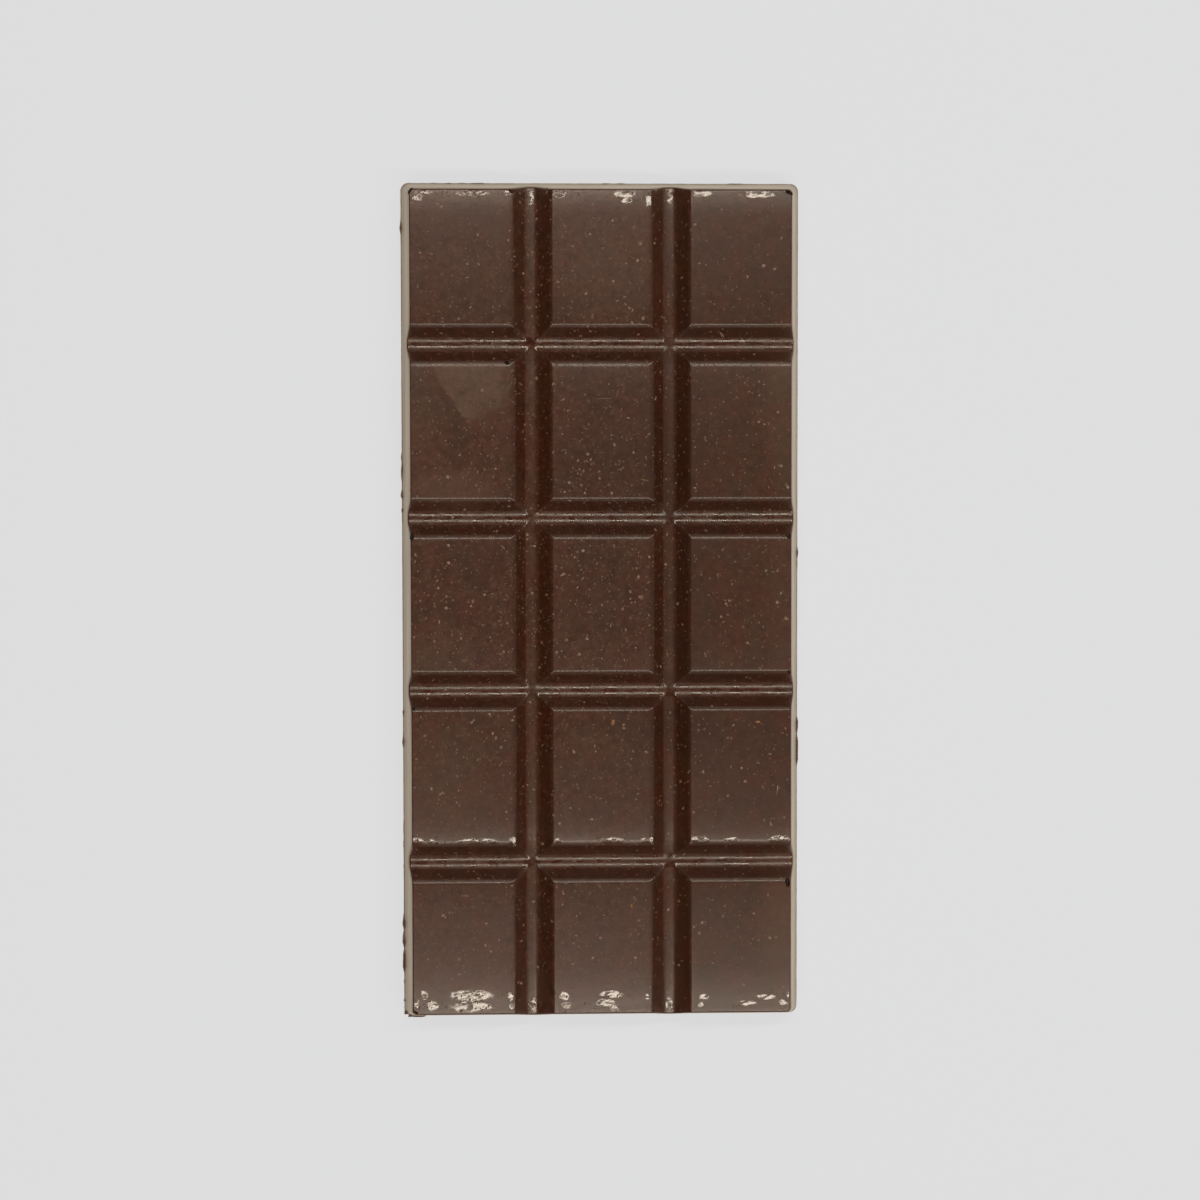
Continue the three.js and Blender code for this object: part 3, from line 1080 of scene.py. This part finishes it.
def fleck_material(name):
    """Cocoa solids: two tones that change from fleck to fleck."""
    light, dark = COCOA_TONES[name]
    material, tree, shader, place = new_material(name)
    tone = noise(tree, place, 2.5 * MM, detail=2.0, seed=41.0).ramp(0.35, 0.65)
    speckle = noise(tree, place, 0.1 * MM, detail=2.0, seed=42.0)
    blend = mix_colours(tree, tone, colour(*dark), colour(*light))
    blend = mix_colours(tree, speckle.ramp(0.55, 0.8) * 0.4, blend, colour(*dark))
    join(tree, blend, shader.inputs["Base Color"])
    shader.inputs["Roughness"].default_value = 0.45
    roughen(tree, shader, speckle * (0.02 * MM))
    return material


# ---------------- flecks


def scatter_tree(name, material, density, least, most, seed):
    """Sows small flecks over the faces that look up, closer round the bar's middle and fewer on its
    right side."""
    sizes = {"Density": density, "Least size": least, "Most size": most, "Flatness": FLECK_FLATNESS}
    tree, size = geometry_tree(name, sizes)
    normal = tree.nodes.new("GeometryNodeInputNormal")
    _, _, up = separate(tree, normal.outputs[0])
    position = tree.nodes.new("GeometryNodeInputPosition")
    x, y, z = separate(tree, position.outputs[0])
    from_middle = ((x + 10 * MM).squared() + (y - 8 * MM).squared()).root()
    closer = 1.3 - from_middle.ramp(12 * MM, 38 * MM) * 0.3
    fewer = 1.1 - x.ramp(4 * MM, 20 * MM) * 0.4
    inputs = {
        "Mesh": size["Geometry"],
        "Selection": up.above(0.6) * z.above(THICKNESS / 2),
        "Density": size["Density"] * closer * fewer,
        "Seed": seed,
    }
    kind = "GeometryNodeDistributePointsOnFaces"
    sown = new_node(tree, kind, inputs, distribute_method="RANDOM").outputs
    angle = random_field(tree, 0.0, math.tau, seed + 3)
    inputs = {"Rotation": sown["Rotation"], "Angle": angle}
    kind = "FunctionNodeRotateEuler"
    spin = new_node(tree, kind, inputs, rotation_type="AXIS_ANGLE", space="LOCAL")
    length = random_field(tree, size["Least size"], size["Most size"], seed + 1)
    slim = random_field(tree, 0.35, 0.95, seed + 2)
    grain = new_node(tree, "GeometryNodeMeshIcoSphere", {"Radius": 0.5, "Subdivisions": 1})
    inputs = {
        "Points": sown["Points"],
        "Instance": grain.outputs["Mesh"],
        "Rotation": spin.outputs[0],
        "Scale": combine(tree, length, length * slim, length * slim * size["Flatness"]),
    }
    plant = new_node(tree, "GeometryNodeInstanceOnPoints", inputs)
    finish_tree(tree, plant.outputs[0], material)
    return tree, sizes


def random_field(tree, low, high, seed):
    node = tree.nodes.new("FunctionNodeRandomValue")
    node.data_type = "FLOAT"
    for value, name in ((low, "Min"), (high, "Max")):
        socket = next(item for item in node.inputs if item.name == name and item.enabled)
        join(tree, value, socket)
    node.inputs["Seed"].default_value = seed
    return Field(tree, next(item for item in node.outputs if item.enabled))


# ---------------- stage


def lay_floor():
    """A pale table, a little warmer in the bar's gloss than it looks in itself."""
    mesh = bpy.data.meshes.new("table_top")
    half = 3.0
    corners = [(-half, -half, 0), (half, -half, 0), (half, half, 0), (-half, half, 0)]
    mesh.from_pydata(corners, [], [(0, 1, 2, 3)])
    floor = put_in_scene("table_top", mesh)
    material, tree, shader, _ = new_material("pale_table")
    shader.inputs["Base Color"].default_value = TABLE_COLOUR
    shader.inputs["Roughness"].default_value = 0.9
    shader.inputs["Specular IOR Level"].default_value = 0.0
    seen = tree.nodes.new("ShaderNodeLightPath").outputs["Is Camera Ray"]
    glow = mix_colours(tree, seen, TABLE_GLOW, TABLE_LOOK)
    join(tree, glow, shader.inputs["Emission Color"])
    shader.inputs["Emission Strength"].default_value = 1.0
    mesh.materials.append(material)


def soft_box(name, start, end, width, glow):
    """A rectangular soft light from one place to another, facing the bar."""
    start, end = Vector(start), Vector(end)
    middle = (start + end) / 2
    across = (end - start).normalized()
    back = (middle - across * middle.dot(across)).normalized()
    data = bpy.data.lights.new(name, "AREA")
    data.shape = "RECTANGLE"
    data.size = (end - start).length
    data.size_y = width
    data.energy = glow * math.pi * data.size * width
    data.color = LIGHT_TINT
    light = put_in_scene(name, data)
    light.location = middle
    light.rotation_euler = Matrix((across, back.cross(across), back)).transposed().to_euler()


def light_studio():
    """Two narrow bright lights beyond the bar's ends, brightest down their middles and spreading
    apart to the right, and dim low walls on three sides."""
    for light in LIGHTS:
        soft_box(*light)
    world = bpy.data.worlds.new("pale_room")
    world.use_nodes = True
    tree = world.node_tree
    backdrop = tree.nodes["Background"]
    backdrop.inputs["Color"].default_value = ROOM_LOOK
    dim = new_node(tree, "ShaderNodeBackground", {"Color": ROOM_GLOW})
    seen = tree.nodes.new("ShaderNodeLightPath").outputs["Is Camera Ray"]
    inputs = {0: seen, 1: dim.outputs[0], 2: backdrop.outputs[0]}
    choose = new_node(tree, "ShaderNodeMixShader", inputs)
    tree.links.new(choose.outputs[0], tree.nodes["World Output"].inputs["Surface"])
    bpy.context.scene.world = world
    bpy.context.scene.view_settings.view_transform = "Standard"


def hang_camera():
    """A long lens above the bar, a little towards its far end and its left side."""
    data = bpy.data.cameras.new("camera")
    data.lens = LENS
    data.sensor_width = 36.0
    data.dof.use_dof = False
    camera = put_in_scene("camera", data)
    camera.location = (CAMERA_X, CAMERA_Y, THICKNESS + CAMERA_HEIGHT)
    camera.rotation_euler = Euler([math.radians(turn) for turn in CAMERA_TURNS])
    bpy.context.scene.camera = camera


# ---------------- the object


def make_bar():
    """The whole bar, in place of the solid."""
    tree = mould_tree(dark_chocolate())
    bar = run_tree("moulded_bar", slab_mesh(), tree, MOULD_SIZES, math.radians(40))
    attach(bar, "root")
    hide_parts("chocolate_bar")
    return bar


def place_marks(bar, name, material, marks, seed):
    """The largest flecks, each a flat chip with a broken outline, half sunk into its facet."""
    chance = random.Random(seed)
    shape = bmesh.new()
    for place_x, place_y, long, wide, turn in marks:
        _, spot, up, _ = bar.ray_cast((place_x * MM, place_y * MM, 1.0), (0, 0, -1))
        size = Matrix.Diagonal((long * MM / 2, wide * MM / 2, MARK_HEIGHT, 1))
        spin = Matrix.Rotation(math.radians(turn), 4, "Z")
        lean = Vector((0, 0, 1)).rotation_difference(up).to_matrix().to_4x4()
        level = Matrix.Translation(spot) @ lean
        chip = bmesh.ops.create_icosphere(shape, subdivisions=2, radius=1.0)["verts"]
        for point in chip:
            point.co *= 0.75 + 0.5 * chance.random()
            point.co.x += 0.25 * point.co.y * point.co.y
        bmesh.ops.transform(shape, matrix=level @ spin @ size, verts=chip)
    mesh = bpy.data.meshes.new(name)
    shape.to_mesh(mesh)
    shape.free()
    mesh.materials.append(material)
    mesh.shade_smooth()
    piece = put_in_scene(name, mesh)
    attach(piece, "root")


def sow_flecks(bar):
    """Cocoa flecks: two kinds sown at random, then the largest ones, each in its own place."""
    faint, pale, rust = (fleck_material(name) for name in COCOA_TONES)
    for name, material, kind in (
        ("faint_flecks", faint, FAINT_FLECKS),
        ("pale_flecks", pale, PALE_FLECKS),
    ):
        tree, sizes = scatter_tree(name, material, *kind)
        flecks = run_tree(name, bar.data, tree, sizes, math.radians(60))
        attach(flecks, "root")
    bpy.context.view_layer.update()
    place_marks(bar, "pale_marks", pale, PALE_MARKS, 71)
    place_marks(bar, "rust_marks", rust, RUST_MARKS, 72)


hang_camera()
lay_floor()
light_studio()
chocolate = make_bar()
sow_flecks(chocolate)
